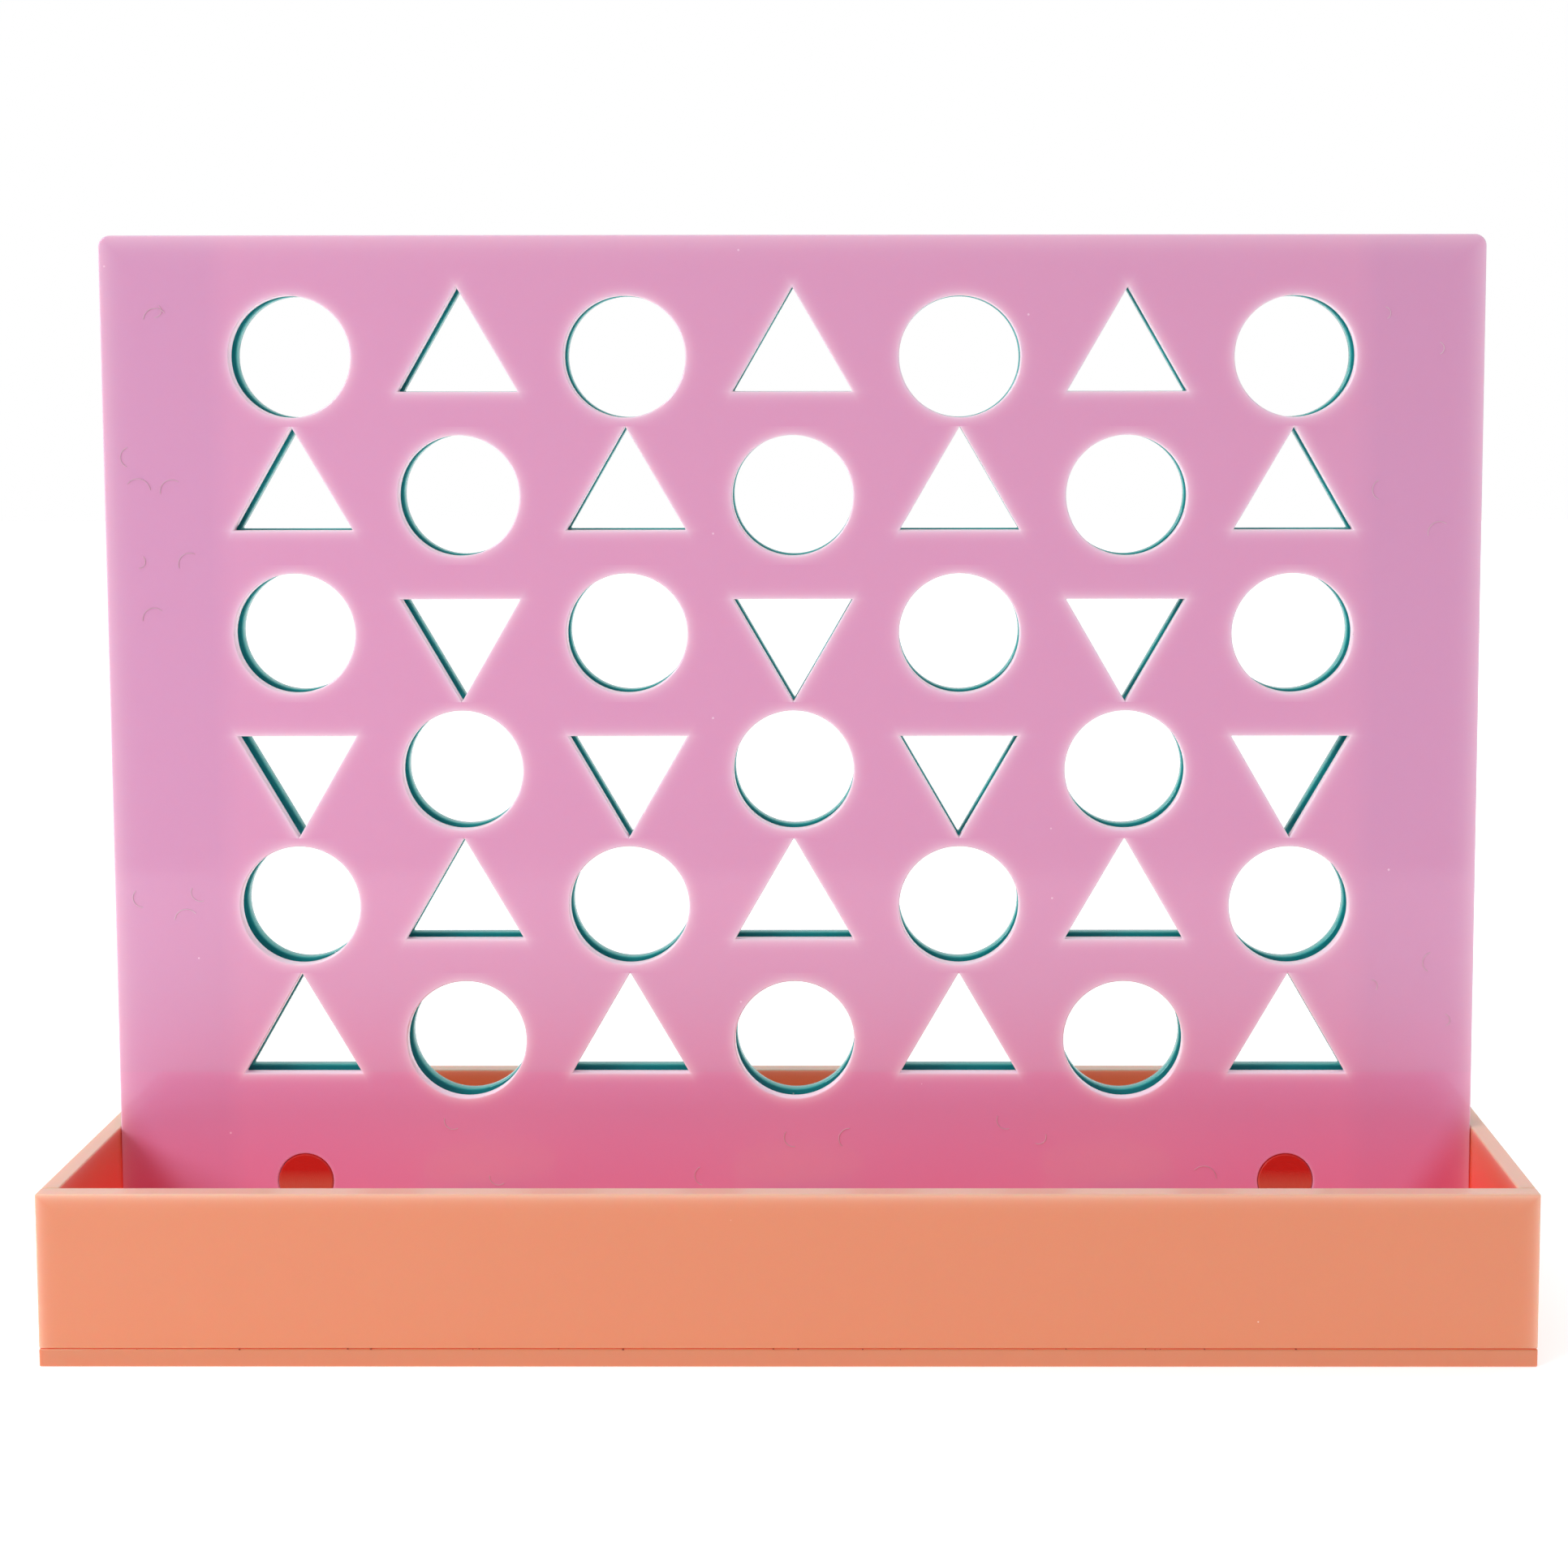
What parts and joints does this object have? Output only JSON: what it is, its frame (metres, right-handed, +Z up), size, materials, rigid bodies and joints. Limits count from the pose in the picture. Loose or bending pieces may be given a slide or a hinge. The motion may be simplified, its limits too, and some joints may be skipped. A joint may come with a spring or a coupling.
{
  "type": "tabletop four in a row game",
  "caption": "Tabletop four-in-a-row game in coloured acrylic sheet: a double board with round and triangular windows stands in an open tray that also holds its loose tokens.",
  "frame": {"origin": "on the table under the middle of the tray's footprint", "axes": "+X along the tray to the right as seen facing the pink panel, +Y from the pink front panel towards the teal back panel, +Z up"},
  "size_m": [0.3598, 0.099, 0.2729],
  "materials": {
    "pink_acrylic": "polished milky pink cast acrylic sheet, light edges",
    "teal_acrylic": "polished translucent teal cast acrylic sheet",
    "coral_acrylic": "polished milky coral orange cast acrylic sheet, lighter edges",
    "deep_coral_acrylic": "turned and polished deep coral acrylic rod",
    "clear_acrylic": "clear cast acrylic sheet with a matt sawn edge",
    "yellow_acrylic": "polished translucent yellow cast acrylic",
    "blue_acrylic": "polished translucent blue cast acrylic"
  },
  "bodies": {
    "tray": {"base_plate": "coral_acrylic", "front_wall": "coral_acrylic", "back_wall": "coral_acrylic", "left_end_wall": "coral_acrylic", "right_end_wall": "coral_acrylic", "token_rail": "clear_acrylic"},
    "board": {"front_panel": "pink_acrylic", "back_panel": "teal_acrylic", "left_side_strip": "clear_acrylic", "right_side_strip": "clear_acrylic", "column_divider_1": "clear_acrylic", "column_divider_2": "clear_acrylic", "column_divider_3": "clear_acrylic", "column_divider_4": "clear_acrylic", "column_divider_5": "clear_acrylic", "column_divider_6": "clear_acrylic", "left_stud": "deep_coral_acrylic", "right_stud": "deep_coral_acrylic"},
    "yellow_token_01": {"yellow_token_01": "yellow_acrylic"},
    "yellow_token_02": {"yellow_token_02": "yellow_acrylic"},
    "yellow_token_03": {"yellow_token_03": "yellow_acrylic"},
    "yellow_token_04": {"yellow_token_04": "yellow_acrylic"},
    "yellow_token_05": {"yellow_token_05": "yellow_acrylic"},
    "yellow_token_06": {"yellow_token_06": "yellow_acrylic"},
    "yellow_token_07": {"yellow_token_07": "yellow_acrylic"},
    "yellow_token_08": {"yellow_token_08": "yellow_acrylic"},
    "yellow_token_09": {"yellow_token_09": "yellow_acrylic"},
    "yellow_token_10": {"yellow_token_10": "yellow_acrylic"},
    "yellow_token_11": {"yellow_token_11": "yellow_acrylic"},
    "yellow_token_12": {"yellow_token_12": "yellow_acrylic"},
    "yellow_token_13": {"yellow_token_13": "yellow_acrylic"},
    "yellow_token_14": {"yellow_token_14": "yellow_acrylic"},
    "yellow_token_15": {"yellow_token_15": "yellow_acrylic"},
    "yellow_token_16": {"yellow_token_16": "yellow_acrylic"},
    "yellow_token_17": {"yellow_token_17": "yellow_acrylic"},
    "yellow_token_18": {"yellow_token_18": "yellow_acrylic"},
    "yellow_token_19": {"yellow_token_19": "yellow_acrylic"},
    "yellow_token_20": {"yellow_token_20": "yellow_acrylic"},
    "yellow_token_21": {"yellow_token_21": "yellow_acrylic"},
    "blue_token_01": {"blue_token_01": "blue_acrylic"},
    "blue_token_02": {"blue_token_02": "blue_acrylic"},
    "blue_token_03": {"blue_token_03": "blue_acrylic"},
    "blue_token_04": {"blue_token_04": "blue_acrylic"},
    "blue_token_05": {"blue_token_05": "blue_acrylic"},
    "blue_token_06": {"blue_token_06": "blue_acrylic"},
    "blue_token_07": {"blue_token_07": "blue_acrylic"},
    "blue_token_08": {"blue_token_08": "blue_acrylic"},
    "blue_token_09": {"blue_token_09": "blue_acrylic"},
    "blue_token_10": {"blue_token_10": "blue_acrylic"},
    "blue_token_11": {"blue_token_11": "blue_acrylic"},
    "blue_token_12": {"blue_token_12": "blue_acrylic"},
    "blue_token_13": {"blue_token_13": "blue_acrylic"},
    "blue_token_14": {"blue_token_14": "blue_acrylic"},
    "blue_token_15": {"blue_token_15": "blue_acrylic"},
    "blue_token_16": {"blue_token_16": "blue_acrylic"},
    "blue_token_17": {"blue_token_17": "blue_acrylic"},
    "blue_token_18": {"blue_token_18": "blue_acrylic"},
    "blue_token_19": {"blue_token_19": "blue_acrylic"},
    "blue_token_20": {"blue_token_20": "blue_acrylic"},
    "blue_token_21": {"blue_token_21": "blue_acrylic"}
  },
  "joints": [
    {"name": "board_lift", "type": "slide", "parent": "tray", "child": "board", "axis": [0, 0, 1], "range_m": [0, 0.06]},
    {"name": "yellow_token_01_lift", "type": "slide", "parent": "tray", "child": "yellow_token_01", "axis": [0, 0, 1], "range_m": [0, 0.04]},
    {"name": "yellow_token_02_lift", "type": "slide", "parent": "yellow_token_01", "child": "yellow_token_02", "axis": [0, 0, 1], "range_m": [0, 0.04]},
    {"name": "yellow_token_03_lift", "type": "slide", "parent": "yellow_token_02", "child": "yellow_token_03", "axis": [0, 0, 1], "range_m": [0, 0.04]},
    {"name": "yellow_token_04_lift", "type": "slide", "parent": "yellow_token_03", "child": "yellow_token_04", "axis": [0, 0, 1], "range_m": [0, 0.04]},
    {"name": "yellow_token_05_lift", "type": "slide", "parent": "yellow_token_04", "child": "yellow_token_05", "axis": [0, 0, 1], "range_m": [0, 0.04]},
    {"name": "yellow_token_06_lift", "type": "slide", "parent": "yellow_token_05", "child": "yellow_token_06", "axis": [0, 0, 1], "range_m": [0, 0.04]},
    {"name": "yellow_token_07_lift", "type": "slide", "parent": "yellow_token_06", "child": "yellow_token_07", "axis": [0, 0, 1], "range_m": [0, 0.04]},
    {"name": "yellow_token_08_lift", "type": "slide", "parent": "tray", "child": "yellow_token_08", "axis": [0, 0, 1], "range_m": [0, 0.04]},
    {"name": "yellow_token_09_lift", "type": "slide", "parent": "yellow_token_08", "child": "yellow_token_09", "axis": [0, 0, 1], "range_m": [0, 0.04]},
    {"name": "yellow_token_10_lift", "type": "slide", "parent": "yellow_token_09", "child": "yellow_token_10", "axis": [0, 0, 1], "range_m": [0, 0.04]},
    {"name": "yellow_token_11_lift", "type": "slide", "parent": "yellow_token_10", "child": "yellow_token_11", "axis": [0, 0, 1], "range_m": [0, 0.04]},
    {"name": "yellow_token_12_lift", "type": "slide", "parent": "yellow_token_11", "child": "yellow_token_12", "axis": [0, 0, 1], "range_m": [0, 0.04]},
    {"name": "yellow_token_13_lift", "type": "slide", "parent": "yellow_token_12", "child": "yellow_token_13", "axis": [0, 0, 1], "range_m": [0, 0.04]},
    {"name": "yellow_token_14_lift", "type": "slide", "parent": "yellow_token_13", "child": "yellow_token_14", "axis": [0, 0, 1], "range_m": [0, 0.04]},
    {"name": "yellow_token_15_lift", "type": "slide", "parent": "tray", "child": "yellow_token_15", "axis": [0, 0, 1], "range_m": [0, 0.04]},
    {"name": "yellow_token_16_lift", "type": "slide", "parent": "yellow_token_15", "child": "yellow_token_16", "axis": [0, 0, 1], "range_m": [0, 0.04]},
    {"name": "yellow_token_17_lift", "type": "slide", "parent": "yellow_token_16", "child": "yellow_token_17", "axis": [0, 0, 1], "range_m": [0, 0.04]},
    {"name": "yellow_token_18_lift", "type": "slide", "parent": "yellow_token_17", "child": "yellow_token_18", "axis": [0, 0, 1], "range_m": [0, 0.04]},
    {"name": "yellow_token_19_lift", "type": "slide", "parent": "yellow_token_18", "child": "yellow_token_19", "axis": [0, 0, 1], "range_m": [0, 0.04]},
    {"name": "yellow_token_20_lift", "type": "slide", "parent": "yellow_token_19", "child": "yellow_token_20", "axis": [0, 0, 1], "range_m": [0, 0.04]},
    {"name": "yellow_token_21_lift", "type": "slide", "parent": "yellow_token_20", "child": "yellow_token_21", "axis": [0, 0, 1], "range_m": [0, 0.04]},
    {"name": "blue_token_01_lift", "type": "slide", "parent": "tray", "child": "blue_token_01", "axis": [0, 0, 1], "range_m": [0, 0.04]},
    {"name": "blue_token_02_lift", "type": "slide", "parent": "blue_token_01", "child": "blue_token_02", "axis": [0, 0, 1], "range_m": [0, 0.04]},
    {"name": "blue_token_03_lift", "type": "slide", "parent": "blue_token_02", "child": "blue_token_03", "axis": [0, 0, 1], "range_m": [0, 0.04]},
    {"name": "blue_token_04_lift", "type": "slide", "parent": "blue_token_03", "child": "blue_token_04", "axis": [0, 0, 1], "range_m": [0, 0.04]},
    {"name": "blue_token_05_lift", "type": "slide", "parent": "blue_token_04", "child": "blue_token_05", "axis": [0, 0, 1], "range_m": [0, 0.04]},
    {"name": "blue_token_06_lift", "type": "slide", "parent": "blue_token_05", "child": "blue_token_06", "axis": [0, 0, 1], "range_m": [0, 0.04]},
    {"name": "blue_token_07_lift", "type": "slide", "parent": "blue_token_06", "child": "blue_token_07", "axis": [0, 0, 1], "range_m": [0, 0.04]},
    {"name": "blue_token_08_lift", "type": "slide", "parent": "tray", "child": "blue_token_08", "axis": [0, 0, 1], "range_m": [0, 0.04]},
    {"name": "blue_token_09_lift", "type": "slide", "parent": "blue_token_08", "child": "blue_token_09", "axis": [0, 0, 1], "range_m": [0, 0.04]},
    {"name": "blue_token_10_lift", "type": "slide", "parent": "blue_token_09", "child": "blue_token_10", "axis": [0, 0, 1], "range_m": [0, 0.04]},
    {"name": "blue_token_11_lift", "type": "slide", "parent": "blue_token_10", "child": "blue_token_11", "axis": [0, 0, 1], "range_m": [0, 0.04]},
    {"name": "blue_token_12_lift", "type": "slide", "parent": "blue_token_11", "child": "blue_token_12", "axis": [0, 0, 1], "range_m": [0, 0.04]},
    {"name": "blue_token_13_lift", "type": "slide", "parent": "blue_token_12", "child": "blue_token_13", "axis": [0, 0, 1], "range_m": [0, 0.04]},
    {"name": "blue_token_14_lift", "type": "slide", "parent": "blue_token_13", "child": "blue_token_14", "axis": [0, 0, 1], "range_m": [0, 0.04]},
    {"name": "blue_token_15_lift", "type": "slide", "parent": "tray", "child": "blue_token_15", "axis": [0, 0, 1], "range_m": [0, 0.04]},
    {"name": "blue_token_16_lift", "type": "slide", "parent": "blue_token_15", "child": "blue_token_16", "axis": [0, 0, 1], "range_m": [0, 0.04]},
    {"name": "blue_token_17_lift", "type": "slide", "parent": "blue_token_16", "child": "blue_token_17", "axis": [0, 0, 1], "range_m": [0, 0.04]},
    {"name": "blue_token_18_lift", "type": "slide", "parent": "blue_token_17", "child": "blue_token_18", "axis": [0, 0, 1], "range_m": [0, 0.04]},
    {"name": "blue_token_19_lift", "type": "slide", "parent": "blue_token_18", "child": "blue_token_19", "axis": [0, 0, 1], "range_m": [0, 0.04]},
    {"name": "blue_token_20_lift", "type": "slide", "parent": "blue_token_19", "child": "blue_token_20", "axis": [0, 0, 1], "range_m": [0, 0.04]},
    {"name": "blue_token_21_lift", "type": "slide", "parent": "blue_token_20", "child": "blue_token_21", "axis": [0, 0, 1], "range_m": [0, 0.04]}
  ]
}
